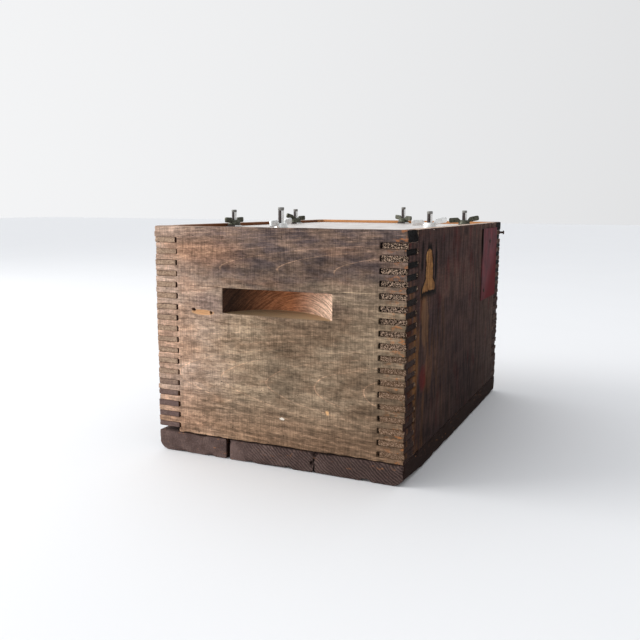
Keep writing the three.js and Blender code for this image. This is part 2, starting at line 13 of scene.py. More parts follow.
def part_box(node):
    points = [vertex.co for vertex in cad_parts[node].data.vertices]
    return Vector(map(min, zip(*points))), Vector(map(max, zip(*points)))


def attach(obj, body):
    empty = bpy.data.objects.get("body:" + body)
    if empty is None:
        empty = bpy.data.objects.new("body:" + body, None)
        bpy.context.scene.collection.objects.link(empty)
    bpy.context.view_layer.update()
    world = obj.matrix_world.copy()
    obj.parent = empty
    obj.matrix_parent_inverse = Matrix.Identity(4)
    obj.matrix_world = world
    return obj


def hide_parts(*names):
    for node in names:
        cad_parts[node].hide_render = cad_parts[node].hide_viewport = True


MM = 0.001
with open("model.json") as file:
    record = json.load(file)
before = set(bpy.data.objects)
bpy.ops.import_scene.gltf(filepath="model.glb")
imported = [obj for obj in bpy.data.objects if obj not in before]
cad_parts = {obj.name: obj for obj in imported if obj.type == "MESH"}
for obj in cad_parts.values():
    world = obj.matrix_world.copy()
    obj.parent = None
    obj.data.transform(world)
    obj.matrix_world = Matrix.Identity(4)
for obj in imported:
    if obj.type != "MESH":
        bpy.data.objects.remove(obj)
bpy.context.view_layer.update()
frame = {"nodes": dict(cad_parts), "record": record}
nodes = frame["nodes"]

# Lengths are in millimetres.
STUDS = ("left_front", "left_rear", "front", "rear", "right_front", "right_rear")
FINGER_PITCH = 9.566
TOP_FINGER_Z = 186.7
FINGER_COUNT = 18
HALF_WIDTH = 114.3
HALF_LENGTH = 173.05
RIM_Z = 198.7
BOARD_TOP_Z = 18.0
INNER_X = 92.1
INNER_Y = 147.5
LIP_X = 106.3
LIP_Y = 165.05
LIP_LEDGE_Z = 190.6
LIP_DEPTH = 8
HAND_HOLD_X = (-48.2, 53.8)
HAND_HOLD_Z = (125.0, 154.0)
SAW_CENTRE = (20, 90)
PEEL_Y = -116.5
PEEL_Z = 165.0
PEEL_HALF_HEIGHT = 18.2
JOINT_REACH = 26
FINGER_SWELL = 0.15
FINGER_WEAR = 1.35
SPLIT_WIDTH = 2.0
SPLIT_DEPTH = 45
STUD_RADIUS = 2.5
STUD_SIDES = 28
PLAIN_TIP = 2.3
TIP_Z = (209.2, 209.5)
HIGH_TIP_Z = (211.9, 212.2)
THREAD_PITCH = 1.06
THREAD_DEPTH = 0.36
NUT_VOXEL = 0.32
NUT_THIN = 0.35
NUT_PITTING = 0.1
DIAL_PIVOT_Y = -92.0
DIAL_ARC = (38.6, 39.1)
TICK_ARC = (39.0, 43.5)
DEGREES_PER_TICK = 4

# ---- meshes --------------------------------------------------------------------------


def link(name, mesh):
    piece = bpy.data.objects.new(name, mesh)
    bpy.context.scene.collection.objects.link(piece)
    return piece


def mesh_from(name, verts, faces):
    mesh = bpy.data.meshes.new(name)
    mesh.from_pydata([Vector(v) * MM for v in verts], [], faces)
    mesh.update()
    return mesh


BOX_FACES = [(0, 1, 3, 2), (4, 6, 7, 5), (0, 4, 5, 1), (2, 3, 7, 6), (0, 2, 6, 4), (1, 5, 7, 3)]


def boxes_mesh(name, boxes):
    """One mesh of separate boxes, each (x0, x1, y0, y1, z0, z1) in millimetres."""
    verts = []
    faces = []
    for x0, x1, y0, y1, z0, z1 in boxes:
        first = len(verts)
        verts += [(x, y, z) for x in (x0, x1) for y in (y0, y1) for z in (z0, z1)]
        faces += [tuple(first + i for i in face) for face in BOX_FACES]
    return mesh_from(name, verts, faces)


def blob_mesh(name, blobs):
    """One mesh of separate ellipsoids, each (centre, half sizes) in millimetres."""
    bm = bmesh.new()
    for centre, half in blobs:
        place = Matrix.Translation(Vector(centre) * MM)
        size = Matrix.Diagonal([h * MM for h in half] + [1])
        bmesh.ops.create_icosphere(bm, subdivisions=3, radius=1, matrix=place @ size)
    mesh = bpy.data.meshes.new(name)
    bm.to_mesh(mesh)
    bm.free()
    return mesh


def applied(piece):
    """Replaces the piece's mesh by the result of its modifiers."""
    graph = bpy.context.evaluated_depsgraph_get()
    result = bpy.data.meshes.new_from_object(piece.evaluated_get(graph))
    piece.modifiers.clear()
    piece.data = result
    return piece


def cad_copy(name, node):
    mesh = nodes[node].data.copy()
    mesh.materials.clear()
    bm = bmesh.new()
    bm.from_mesh(mesh)
    bmesh.ops.remove_doubles(bm, verts=bm.verts, dist=1e-6)
    bm.to_mesh(mesh)
    bm.free()
    return link(name, mesh)


def cut(piece, *cutter_meshes):
    cutters = []
    for mesh in cutter_meshes:
        cutter = link("cutter", mesh)
        cutters.append(cutter)
        step = piece.modifiers.new("cut", "BOOLEAN")
        step.operation = "DIFFERENCE"
        step.solver = "EXACT"
        step.use_self = True
        step.object = cutter
    applied(piece)
    for cutter in cutters:
        bpy.data.objects.remove(cutter)
    return piece


def remeshed(piece, voxel):
    step = piece.modifiers.new("remesh", "REMESH")
    step.mode = "VOXEL"
    step.voxel_size = voxel * MM
    return applied(piece)


def thinned(piece, ratio):
    step = piece.modifiers.new("thin", "DECIMATE")
    step.ratio = ratio
    return applied(piece)


def lumps(points, size, seed):
    """Smooth noise from -1 to 1 at points in millimetres; size is the lumps' size along each axis."""
    grid = points / np.array(size, float) + seed * 17.31
    cell = np.floor(grid).astype(np.int64)
    part = grid - cell
    part = part * part * (3 - 2 * part)
    total = np.zeros(len(points))
    for corner in itertools.product((0, 1), repeat=3):
        index = cell + np.array(corner)
        mixed = (index[:, 0] * 73856093) ^ (index[:, 1] * 19349663) ^ (index[:, 2] * 83492791)
        mixed = ((mixed ^ (mixed >> 13)) * 1274126177) & 0x7FFFFFFF
        value = ((mixed ^ (mixed >> 9)) & 0xFFFF) / 32767.5 - 1
        weight = np.prod(np.where(np.array(corner) == 1, part, 1 - part), axis=1)
        total += weight * value
    return total


def vertices_of(piece):
    mesh = piece.data
    points = np.zeros(len(mesh.vertices) * 3, np.float32)
    normals = np.zeros(len(mesh.vertices) * 3, np.float32)
    mesh.vertices.foreach_get("co", points)
    mesh.vertex_normals.foreach_get("vector", normals)
    return points.reshape(-1, 3).astype(float) / MM, normals.reshape(-1, 3).astype(float)


def box_of(names):
    """The box around some CAD nodes, in millimetres."""
    corners = [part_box(name) for name in names]
    low = np.min([np.array(c[0]) for c in corners], axis=0)
    high = np.max([np.array(c[1]) for c in corners], axis=0)
    return low / MM, high / MM


def move_vertices(piece, points, names):
    """Writes the points back, held inside the CAD nodes' own box."""
    low, high = box_of(names)
    held = np.clip(points, low, high) * MM
    piece.data.vertices.foreach_set("co", held.astype(np.float32).ravel())
    piece.data.update()


def smooth(piece):
    for face in piece.data.polygons:
        face.use_smooth = True


# ---- shader helper -------------------------------------------------------------------


def srgb(red, green, blue):
    def linear(value):
        value /= 255
        return value / 12.92 if value <= 0.04045 else ((value + 0.055) / 1.055) ** 2.4

    return (linear(red), linear(green), linear(blue), 1)


class Shade:
    """Writes one procedural material. Positions are the object's own, in millimetres."""

    def __init__(self, name):
        self.material = bpy.data.materials.new(name)
        self.material.use_nodes = True
        self.tree = self.material.node_tree
        self.shader = self.tree.nodes["Principled BSDF"]
        place = self.add("ShaderNodeTexCoord")
        self.object_normal = place.outputs["Normal"]
        scaled = self.add("ShaderNodeVectorMath", operation="SCALE")
        scaled.inputs["Scale"].default_value = 1000
        self.tree.links.new(place.outputs["Object"], scaled.inputs[0])
        self.point = scaled.outputs[0]
        self.x, self.y, self.z = self.split(self.point)

    def add(self, kind, **settings):
        node = self.tree.nodes.new(kind)
        for key, value in settings.items():
            setattr(node, key, value)
        return node

    def join(self, socket, value):
        if isinstance(value, bpy.types.NodeSocket):
            self.tree.links.new(value, socket)
        else:
            socket.default_value = value

    def split(self, vector):
        node = self.add("ShaderNodeSeparateXYZ")
        self.join(node.inputs[0], vector)
        return node.outputs

    def math(self, operation, a, b=0.0):
        node = self.add("ShaderNodeMath", operation=operation)
        for socket, value in zip(node.inputs, (a, b), strict=False):
            self.join(socket, value)
        return node.outputs[0]

    def times(self, a, b):
        return self.math("MULTIPLY", a, b)

    def plus(self, a, b):
        return self.math("ADD", a, b)

    def minus(self, a, b):
        return self.math("SUBTRACT", a, b)

    def size(self, value):
        return self.math("ABSOLUTE", value)

    def shifted(self, value, noise, amount):
        """The value moved to and fro by a noise from 0 to 1."""
        return self.plus(value, self.times(self.minus(noise, 0.5), amount))

    def stretched(self, sx, sy, sz, shift=(0, 0, 0)):
        """The position scaled along each axis, so that a pattern is stretched along small ones."""
        node = self.add("ShaderNodeMapping")
        node.inputs["Scale"].default_value = (sx, sy, sz)
        node.inputs["Location"].default_value = shift
        self.join(node.inputs["Vector"], self.point)
        return node.outputs[0]

    def noise(self, vector, scale=1.0, detail=2.0, roughness=0.5, distortion=0.0):
        node = self.add("ShaderNodeTexNoise")
        self.join(node.inputs["Vector"], vector)
        self.join(node.inputs["Scale"], scale)
        self.join(node.inputs["Detail"], detail)
        self.join(node.inputs["Roughness"], roughness)
        self.join(node.inputs["Distortion"], distortion)
        return node.outputs["Fac"]

    def cells(self, vector, scale=1.0):
        node = self.add("ShaderNodeTexVoronoi")
        self.join(node.inputs["Vector"], vector)
        self.join(node.inputs["Scale"], scale)
        return node.outputs["Distance"]

    def rise(self, value, low, high, start=0.0, end=1.0):
        """Goes smoothly from start to end while value goes from low to high."""
        node = self.add("ShaderNodeMapRange", interpolation_type="SMOOTHSTEP")
        self.join(node.inputs["Value"], value)
        for key, number in (("From Min", low), ("From Max", high), ("To Min", start), ("To Max", end)):
            self.join(node.inputs[key], number)
        return node.outputs["Result"]

    def band(self, value, low, high, soft):
        up = self.rise(value, low - soft, low + soft)
        down = self.rise(value, high - soft, high + soft, 1.0, 0.0)
        return self.times(up, down)

    def spot(self, centre, half, wobble=0.25, soft=0.35, scale=0.05):
        """A soft-edged ellipse in X, Y and Z; a half size of None leaves that axis out."""
        total = 0.0
        for value, middle, size in zip((self.x, self.y, self.z), centre, half, strict=True):
            if size is not None:
                offset = self.math("DIVIDE", self.minus(value, middle), size)
                total = self.plus(self.times(offset, offset), total)
        reach = self.math("SQRT", total)
        ragged = self.noise(self.point, scale, 3.0)
        reach = self.plus(reach, self.times(self.minus(ragged, 0.5), wobble * 2))
        return self.rise(reach, 1 - soft, 1 + soft, 1.0, 0.0)

    def mix(self, factor, a, b):
        node = self.add("ShaderNodeMix", data_type="RGBA")
        self.join(node.inputs["Factor"], factor)
        self.join(node.inputs["A"], a)
        self.join(node.inputs["B"], b)
        return next(s for s in node.outputs if s.type == "RGBA")

    def shaded(self, colour, value):
        """The colour multiplied by a grey value."""
        node = self.add("ShaderNodeVectorMath", operation="SCALE")
        self.join(node.inputs[0], colour if isinstance(colour, bpy.types.NodeSocket) else colour[:3])
        self.join(node.inputs["Scale"], value)
        return node.outputs[0]

    def facing(self, axis):
        """How squarely the surface faces along an axis, from 0 to 1."""
        parts = self.split(self.object_normal)
        return self.size(parts[axis])

    def finish(self, colour, roughness, height=None, bump=0.4, depth=0.0004, **sockets):
        self.join(self.shader.inputs["Base Color"], colour)
        self.join(self.shader.inputs["Roughness"], roughness)
        for key, value in sockets.items():
            self.shader.inputs[key.replace("_", " ")].default_value = value
        if height is not None:
            node = self.add("ShaderNodeBump")
            node.inputs["Strength"].default_value = bump
            node.inputs["Distance"].default_value = depth
            self.join(node.inputs["Height"], height)
            self.join(self.shader.inputs["Normal"], node.outputs["Normal"])
        return self.material


# ---- wood ----------------------------------------------------------------------------


def wood_fields(s, along):
    """Grain of a board whose fibres run along axis 0 (X) or 1 (Y): fibre, pores, upright saw marks."""
    fine = (0.07, 1.1, 2.0) if along == 0 else (1.1, 0.07, 2.0)
    pore = (0.22, 1.6, 2.6) if along == 0 else (1.6, 0.22, 2.6)
    saw = (1.3, 1.3, 0.07)
    fibre = s.noise(s.stretched(*fine), 1.0, 5.0, 0.6)
    pores = s.noise(s.stretched(*pore), 1.0, 2.0, 0.5)
    marks = s.noise(s.stretched(*saw), 1.0, 3.0, 0.6)
    return fibre, pores, marks


def cathedral(s, flow, apex_x, apex_z, width, period):
    """Distance field of nested pale arches that open towards +X around one apex line."""
    rise = s.minus(s.z, apex_z)
    bend = s.math("DIVIDE", s.times(rise, rise), width)
    along = s.minus(s.minus(s.x, apex_x), s.math("MINIMUM", bend, 400.0))
    along = s.shifted(along, flow, 34.0)
    return s.math("PINGPONG", s.math("DIVIDE", along, period), 0.5)


def end_wood():
    """The front and back walls: bare weathered boards with worn varnish, grain along X."""
    s = Shade("weathered_end_wood")
    fibre, pores, marks = wood_fields(s, 0)
    flow = s.noise(s.stretched(0.3, 1, 1, (3.1, 1.7, 9.2)), 0.03, 2.0, 0.5)
    blotch = s.noise(s.stretched(0.45, 1, 1), 0.03, 5.0, 0.65)
    fine_blotch = s.noise(s.stretched(0.35, 1, 1, (7, 1, 5)), 0.11, 4.0, 0.6)
    # Ground colours: tan at the left, olive grey in the middle, plum grey above, orange below.
    tan = s.mix(s.rise(blotch, 0.4, 0.6), srgb(178, 152, 134), srgb(180, 146, 124))
    olive = s.mix(s.rise(blotch, 0.4, 0.6), srgb(160, 138, 114), srgb(136, 112, 90))
    across = s.shifted(s.x, blotch, 120.0)
    colour = s.mix(s.rise(across, -105.0, -25.0), tan, olive)
    upper = s.rise(s.shifted(s.z, blotch, 90.0), 120.0, 172.0)
    upper = s.times(upper, s.rise(s.x, -112.0, -40.0, 0.12, 1.0))
    plum = s.mix(s.rise(fine_blotch, 0.34, 0.66), srgb(132, 108, 94), srgb(98, 84, 84))
    colour = s.mix(s.times(upper, 0.9), colour, plum)
    lower = s.rise(s.shifted(s.z, blotch, 70.0), 22.0, 58.0, 1.0, 0.0)
    colour = s.mix(s.times(lower, 0.7), colour, srgb(140, 108, 84))
    rust = s.rise(s.noise(s.stretched(0.3, 1, 1, (2, 8, 1)), 0.05, 4.0, 0.6), 0.54, 0.74)
    rust = s.times(rust, s.rise(s.size(s.x), 88.0, 96.0, 1.0, 0.3))
    colour = s.mix(s.times(rust, 0.42), colour, srgb(158, 116, 88))
    glow = s.spot((-66, None, 176), (34, None, 10), 0.7, 0.8)
    colour = s.mix(s.times(glow, 0.42), colour, srgb(176, 128, 96))
    # Pale arched growth lines, fading in and out.
    low_arch = cathedral(s, flow, 37, 72, 8.0, 44.0)
    high_arch = cathedral(s, flow, -100, 165, 3.4, 52.0)
    arches = s.mix(s.rise(s.z, 112.0, 132.0), low_arch, high_arch)
    fade = s.rise(s.noise(s.point, 0.035, 2.0), 0.22, 0.5)
    lines = s.times(s.rise(arches, 0.0, 0.026, 1.0, 0.0), s.times(fade, s.rise(fibre, 0.3, 0.55)))
    lines = s.times(lines, s.minus(1.0, s.band(s.z, 122.0, 164.0, 2.0)))
    colour = s.mix(s.times(lines, 0.75), colour, srgb(214, 172, 140))
    # Dark bands between them, long fibres, pores and faint upright saw marks.
    band = s.noise(s.stretched(0.06, 1, 1, (1, 4, 2)), 0.16, 4.0, 0.6)
    tone = s.rise(band, 0.3, 0.7, 1.16, 0.82)
    tone = s.times(tone, s.rise(arches, 0.02, 0.5, 1.07, 0.9))
    mottle = s.noise(s.stretched(0.4, 1, 1, (6, 2, 3)), 0.4, 4.0, 0.7)
    tone = s.times(tone, s.rise(mottle, 0.38, 0.62, 0.74, 1.26))
    tone = s.times(tone, s.rise(fibre, 0.25, 0.75, 0.72, 1.26))
    tone = s.times(tone, s.rise(marks, 0.3, 0.7, 0.76, 1.22))
    tone = s.times(tone, s.rise(pores, 0.58, 0.72, 1.0, 0.6))
    tone = s.times(tone, s.rise(fine_blotch, 0.3, 0.7, 1.12, 0.84))
    # Painted light: the boards are painted lighter at the left and darker at the right, as if lit by the
    # window at the left.
    tone = s.times(tone, s.rise(s.x, -114.0, 114.0, 1.2, 0.8))
    streak = s.noise(s.stretched(0.03, 1, 1, (5, 7, 4)), 0.3, 3.0, 0.6)
    streak = s.times(s.rise(streak, 0.5, 0.62), s.rise(s.z, 45.0, 85.0, 1.0, 0.25))
    tone = s.times(tone, s.minus(1.0, s.times(streak, 0.26)))
    grime = s.spot((2, None, 166), (64, None, 15), 0.6, 0.7)
    tone = s.times(tone, s.minus(1.0, s.times(grime, 0.3)))
    smudge = s.spot((8, None, 80), (14, None, 22), 0.6, 0.7)
    tone = s.times(tone, s.minus(1.0, s.times(smudge, 0.28)))
    stain = s.spot((-58, None, 133), (16, None, 9), 0.7, 0.7)
    colour = s.mix(s.times(stain, 0.45), colour, srgb(104, 84, 88))
    # Long cracks: a pale one right of the hand-hold, dark ones left of it and low on the board.
    pale, dark = srgb(206, 178, 146), srgb(58, 42, 34)
    cracks = ((149.5, 52, 94, 0.9, pale), (149.0, -92, -46, 0.8, dark), (118.5, -90, -10, 0.45, dark))
    for z, x0, x1, depth, shade in (*cracks, (33.0, -92, 92, 0.35, dark)):
        wander = s.shifted(s.z, flow, 14.0)
        line = s.band(wander, z - 0.3, z + 0.3, 0.25)
        line = s.times(line, s.band(s.x, x0, x1, 4.0))
        colour = s.mix(s.times(line, depth), colour, shade)
    colour = s.shaded(colour, tone)
    raw = s.rise(s.noise(s.stretched(0.5, 1, 1, (4, 4, 2)), 0.28, 4.0, 0.7), 0.54, 0.64)
    raw = s.times(raw, s.rise(s.x, 94.0, 110.0))
    colour = s.mix(s.times(raw, 0.7), colour, srgb(178, 112, 64))
    specks = s.rise(s.cells(s.point, 0.09), 0.035, 0.06, 1.0, 0.0)
    colour = s.mix(s.times(specks, 0.8), colour, srgb(48, 36, 30))
    paint_fleck = (8.9, 42.3, 1.9, 1.1, srgb(232, 222, 206))
    bare_fleck = (49.4, 52.3, 1.4, 1.7, srgb(226, 176, 126))
    for x, z, wide, high, shade in (paint_fleck, bare_fleck):
        colour = s.mix(s.spot((x, None, z), (wide, None, high), 1.1, 0.2, 0.9), colour, shade)
    # The fingers' cut ends, seen on the sides of the case.
    end = s.times(s.rise(s.facing(0), 0.6, 0.8), s.rise(s.size(s.x), 91.0, 93.0))
    pits = s.noise(s.stretched(1, 1.5, 1.5), 1.1, 3.0)
    grain_end = s.mix(s.rise(s.z, 90.0, 165.0), srgb(58, 38, 31), srgb(16, 10, 8))
    grain_end = s.shaded(grain_end, s.rise(pits, 0.3, 0.7, 0.25, 1.3))
    colour = s.mix(end, colour, grain_end)
    # Fresh wood in the splinter hole, with a rusty nail at each end.
    torn = s.spot((-66.5, None, 126.3), (10.8, None, 2.3), 0.2, 0.15, 0.3)
    torn = s.times(torn, s.rise(s.y, -160.0, -150.0, 1.0, 0.0))
    colour = s.mix(torn, colour, s.shaded(srgb(216, 168, 124), s.rise(fibre, 0.3, 0.7, 0.72, 1.12)))
    for x, z in ((-75.5, 128.4), (-58.2, 126.4)):
        nail = s.spot((x, None, z), (1.7, None, 1.3), 0.3, 0.3, 0.5)
        colour = s.mix(s.times(nail, 0.9), colour, srgb(58, 34, 26))
    # Inside the hand-holds: bare sawn wood, with painted shade at the left and a painted highlight at the
    # right.
    within = s.times(s.band(s.x, *HAND_HOLD_X, 0.25), s.band(s.z, *HAND_HOLD_Z, 0.4))
    deep = s.times(within, s.rise(s.size(s.y), 172.1, 172.7, 1.0, 0.0))
    sawn = s.noise(s.stretched(0.6, 1.0, 1.3), 0.55, 4.0, 0.6)
    saw_x = s.minus(s.x, SAW_CENTRE[0])
    saw_z = s.minus(s.z, SAW_CENTRE[1])
    reach = s.math("SQRT", s.plus(s.times(saw_x, saw_x), s.times(saw_z, saw_z)))
    swept = s.add("ShaderNodeCombineXYZ")
    s.join(swept.inputs[0], s.times(reach, 0.8))
    s.join(swept.inputs[1], s.times(s.x, 0.06))
    fan = s.rise(s.noise(swept.outputs[0], 1.0, 4.0, 0.7), 0.38, 0.62)
    bare = s.mix(s.rise(s.x, -42.0, 8.0), srgb(56, 36, 25), srgb(170, 110, 74))
    bare = s.mix(s.rise(s.x, 6.0, 46.0), bare, srgb(222, 186, 160))
    bare = s.shaded(bare, s.times(s.rise(sawn, 0.35, 0.65, 0.84, 1.14), s.rise(fan, 0.0, 1.0, 0.6, 1.24)))
    # Painted shade also darkens the hand-hold's floor towards the left.
    upward = s.rise(s.split(s.object_normal)[2], 0.6, 0.8)
    bare = s.mix(upward, bare, s.shaded(srgb(150, 124, 94), s.rise(s.x, -48.0, 40.0, 0.5, 1.15)))
    colour = s.mix(deep, colour, bare)
    # The lip's inner side was never finished.
    lip = s.times(s.rise(s.z, LIP_LEDGE_Z, LIP_LEDGE_Z + 0.8), s.rise(s.size(s.y), 165.4, 166.4, 1.0, 0.0))
    lip = s.times(lip, s.rise(s.size(s.x), 106.2, 107.0, 1.0, 0.0))
    colour = s.mix(lip, colour, s.shaded(srgb(200, 140, 92), s.rise(fibre, 0.2, 0.8, 0.75, 1.2)))
    height = s.plus(s.times(fibre, 0.9), s.times(marks, 0.5))
    height = s.minus(height, s.rise(pores, 0.58, 0.75, 0.0, 0.5))
    rough = s.rise(blotch, 0.3, 0.7, 0.65, 0.9)
    return s.finish(colour, rough, height, 0.6, 0.0005, Specular_IOR_Level=0.1)


def side_wood():
    """The side walls: dark maroon stain, worn through in places, grain along Y."""
    s = Shade("stained_side_wood")
    fibre, pores, _ = wood_fields(s, 1)
    blotch = s.noise(s.stretched(1, 0.35, 1), 0.03, 5.0, 0.65)
    near = s.rise(s.y, -165.0, -20.0, 1.0, 0.12)
    right_face = s.rise(s.x, 104.0, 110.0)
    colour = s.mix(s.rise(blotch, 0.35, 0.65), srgb(84, 58, 50), srgb(68, 52, 50))
    colour = s.mix(s.rise(s.y, 0.0, 140.0, 0.0, 0.6), colour, srgb(96, 74, 64))
    runs = s.noise(s.stretched(1, 1.1, 0.16, (2, 5, 1)), 0.11, 4.0, 0.6)
    ochre = s.times(s.rise(runs, 0.5, 0.62), s.times(near, s.rise(s.z, 178.0, 150.0)))
    colour = s.mix(s.times(ochre, 0.8), colour, srgb(112, 76, 48))
    red = s.rise(s.noise(s.stretched(1, 0.8, 0.35, (9, 5, 4)), 0.07, 4.0, 0.65), 0.55, 0.68)
    red = s.times(red, s.rise(right_face, 0.0, 1.0, 0.3, 0.6))
    colour = s.mix(red, colour, srgb(78, 26, 24))
    flakes = s.rise(s.noise(s.stretched(1, 1, 0.5, (1, 9, 9)), 0.3, 5.0, 0.7), 0.6, 0.68)
    colour = s.mix(s.times(flakes, near), colour, srgb(30, 18, 16))
    tone = s.rise(fibre, 0.2, 0.8, 0.7, 1.3)
    tone = s.times(tone, s.rise(pores, 0.6, 0.75, 1.0, 0.6))
    drips = s.noise(s.stretched(1, 1.0, 0.16, (5, 5, 2)), 0.22, 4.0, 0.65)
    weak = s.rise(drips, 0.36, 0.62, 0.88, 1.1)
    strong = s.rise(drips, 0.36, 0.62, 0.6, 1.35)
    dripped = s.plus(weak, s.times(right_face, s.minus(strong, weak)))
    tone = s.times(tone, dripped)
    tone = s.times(tone, s.rise(s.z, 20.0, 170.0, 0.48, 0.86))
    colour = s.shaded(colour, tone)
    # A patch where the finish has peeled off bare wood: a rounded neck above a wider foot.
    skew = s.shifted(s.y, s.noise(s.point, 0.12, 3.0), 8.0)
    waist = s.rise(s.z, 150.5, 159.5, 19.0, 10.5)
    waist = s.minus(waist, s.rise(s.z, 173.0, 185.0, 0.0, 5.5))
    beside = s.math("DIVIDE", s.size(s.minus(skew, PEEL_Y)), waist)
    above = s.math("DIVIDE", s.size(s.minus(s.z, PEEL_Z)), PEEL_HALF_HEIGHT)
    shape = s.math("MAXIMUM", beside, above)
    rounded = s.shifted(shape, s.noise(s.point, 0.2, 3.0), 0.3)
    peel = s.rise(rounded, 0.88, 0.96, 1.0, 0.0)
    streaks = ((-97.5, 170, 3.2, 17, srgb(6, 3, 3), 1.0), (-136.0, 176, 4.0, 14, srgb(6, 3, 3), 1.0))
    smears = ((-125.5, 125, 9.0, 24, srgb(128, 92, 62), 0.75), (-152.0, 98, 10.0, 32, srgb(122, 82, 46), 0.6))
    for y, z, wide, high, shade, depth in (*streaks, *smears, (-129.0, 77, 9.0, 10, srgb(98, 28, 24), 0.75)):
        mark = s.times(s.spot((None, y, z), (None, wide, high), 0.5, 0.35, 0.12), right_face)
        mark = s.times(mark, s.rise(runs, 0.3, 0.6, 0.4, 1.0))
        colour = s.mix(s.times(mark, depth), colour, shade)
    flecks = s.rise(s.noise(s.stretched(1, 1, 0.6, (3, 3, 7)), 0.5, 4.0, 0.7), 0.68, 0.74)
    flecks = s.times(flecks, s.times(near, right_face))
    colour = s.mix(s.times(flecks, 0.8), colour, srgb(176, 104, 56))
    rim = s.rise(rounded, 1.02, 1.3, 1.0, 0.0)
    colour = s.mix(s.times(s.times(rim, 0.92), right_face), colour, srgb(8, 4, 3))
    bare = s.mix(s.rise(drips, 0.38, 0.62), srgb(112, 74, 44), srgb(178, 130, 80))
    bare = s.shaded(bare, s.rise(fibre, 0.25, 0.75, 0.7, 1.15))
    colour = s.mix(s.times(peel, right_face), colour, bare)
    plate_shadow = s.times(s.spot((None, 78, 180), (None, 3.0, 15), 0.3, 0.4), right_face)
    colour = s.mix(s.times(plate_shadow, 0.8), colour, srgb(20, 13, 12))
    knot = s.spot((None, 6, 193), (None, 6.5, 4.2), 0.35, 0.4, 0.3)
    colour = s.mix(s.times(knot, 0.8), colour, srgb(34, 20, 17))
    # End grain of the fingers, seen on the front and back of the case.
    end = s.rise(s.facing(1), 0.6, 0.8)
    slant = s.add("ShaderNodeCombineXYZ")
    s.join(slant.inputs[0], s.times(s.plus(s.x, s.z), 1.15))
    s.join(slant.inputs[1], s.times(s.minus(s.x, s.z), 0.5))
    pits = s.noise(slant.outputs[0], 0.9, 3.0, 0.7, 0.4)
    right = s.rise(s.x, -20.0, 20.0)
    rough_end = s.mix(s.rise(pits, 0.48, 0.58), srgb(20, 13, 11), srgb(186, 158, 136))
    rough_end = s.mix(s.rise(s.z, 60.0, 150.0, 0.5, 0.0), rough_end, srgb(134, 104, 80))
    streaks = s.noise(s.stretched(0.5, 1.0, 0.9), 0.6, 4.0, 0.6, 1.5)
    calm_end = s.mix(s.rise(streaks, 0.3, 0.7), srgb(140, 116, 98), srgb(190, 162, 138))
    calm_end = s.mix(s.rise(s.z, 48.0, 78.0, 0.8, 0.0), calm_end, srgb(92, 74, 76))
    grain_end = s.mix(right, calm_end, rough_end)
    colour = s.mix(end, colour, grain_end)
    top = s.times(s.rise(s.facing(2), 0.7, 0.9), s.rise(s.z, 185.0, 190.0))
    colour = s.mix(top, colour, s.shaded(srgb(198, 176, 160), s.rise(fibre, 0.2, 0.8, 0.7, 1.2)))
    height = s.plus(s.times(fibre, 0.8), s.times(pits, s.times(end, 1.6)))
    height = s.minus(height, s.times(peel, 0.6))
    lip = s.times(s.rise(s.z, LIP_LEDGE_Z, LIP_LEDGE_Z + 0.8), s.rise(s.size(s.x), 106.6, 107.6, 1.0, 0.0))
    lip = s.times(lip, s.rise(s.size(s.y), 164.9, 165.5, 1.0, 0.0))
    colour = s.mix(lip, colour, s.shaded(srgb(126, 80, 54), s.rise(fibre, 0.2, 0.8, 0.7, 1.2)))
    rough = s.rise(blotch, 0.3, 0.7, 0.62, 0.82)
    return s.finish(colour, rough, height, 0.6, 0.0006, Specular_IOR_Level=0.03)


def base_wood():
    """The bottom boards: rough dark grey-brown planks, grain along Y, saw marks across their ends."""
    s = Shade("rough_base_wood")
    fibre, _, _ = wood_fields(s, 1)
    blotch = s.noise(s.point, 0.035, 4.0, 0.6)
    colour = s.mix(s.rise(blotch, 0.35, 0.65), srgb(120, 100, 94), srgb(84, 68, 64))
    colour = s.mix(s.rise(s.x, -40.0, 10.0, 0.0, 0.6), colour, srgb(72, 58, 54))
    side = s.rise(s.facing(0), 0.6, 0.8)
    colour = s.mix(side, colour, srgb(44, 31, 27))
    slanted = s.plus(s.times(s.x, 0.78), s.times(s.z, 0.9))
    wave = s.math("SINE", s.plus(s.times(slanted, 2.3), s.times(s.noise(s.point, 0.1, 4.0), 15.0)))
    end = s.rise(s.facing(1), 0.6, 0.8)
    sawn = s.times(end, s.rise(s.x, -34.0, -8.0))
    wander = s.shifted(s.x, s.noise(s.point, 0.16, 3.0), 5.0)
    crack = s.times(s.band(wander, 36.2, 37.8, 0.35), end)
    colour = s.mix(crack, colour, srgb(14, 9, 8))
    tone = s.plus(1.0, s.times(s.times(wave, sawn), 0.4))
    tone = s.times(tone, s.rise(fibre, 0.2, 0.8, 0.75, 1.2))
    tone = s.times(tone, s.rise(s.noise(s.point, 0.7, 3.0), 0.3, 0.7, 0.8, 1.2))
    scuffs = s.rise(s.noise(s.stretched(0.5, 0.5, 1.2, (4, 4, 4)), 0.25, 4.0, 0.7), 0.62, 0.7)
    colour = s.mix(s.times(scuffs, 0.7), s.shaded(colour, tone), srgb(160, 110, 76))
    height = s.plus(fibre, s.times(s.times(wave, sawn), 0.7))
    return s.finish(colour, 0.88, height, 0.6, 0.0006, Specular_IOR_Level=0.05)


# ---- other materials -----------------------------------------------------------------


def worn_metal(name, bright, dull, roughness, metallic=1.0, scale=0.6):
    s = Shade(name)
    cloud = s.noise(s.point, scale, 5.0, 0.65)
    scratch = s.noise(s.stretched(2.5, 0.4, 2.5), scale * 2, 3.0, 0.6)
    colour = s.mix(s.rise(cloud, 0.35, 0.68), bright, dull)
    colour = s.shaded(colour, s.rise(scratch, 0.3, 0.7, 0.85, 1.12))
    rough = s.rise(cloud, 0.3, 0.7, roughness - 0.1, roughness + 0.18)
    return s.finish(colour, rough, scratch, 0.12, 0.0002, Metallic=metallic)


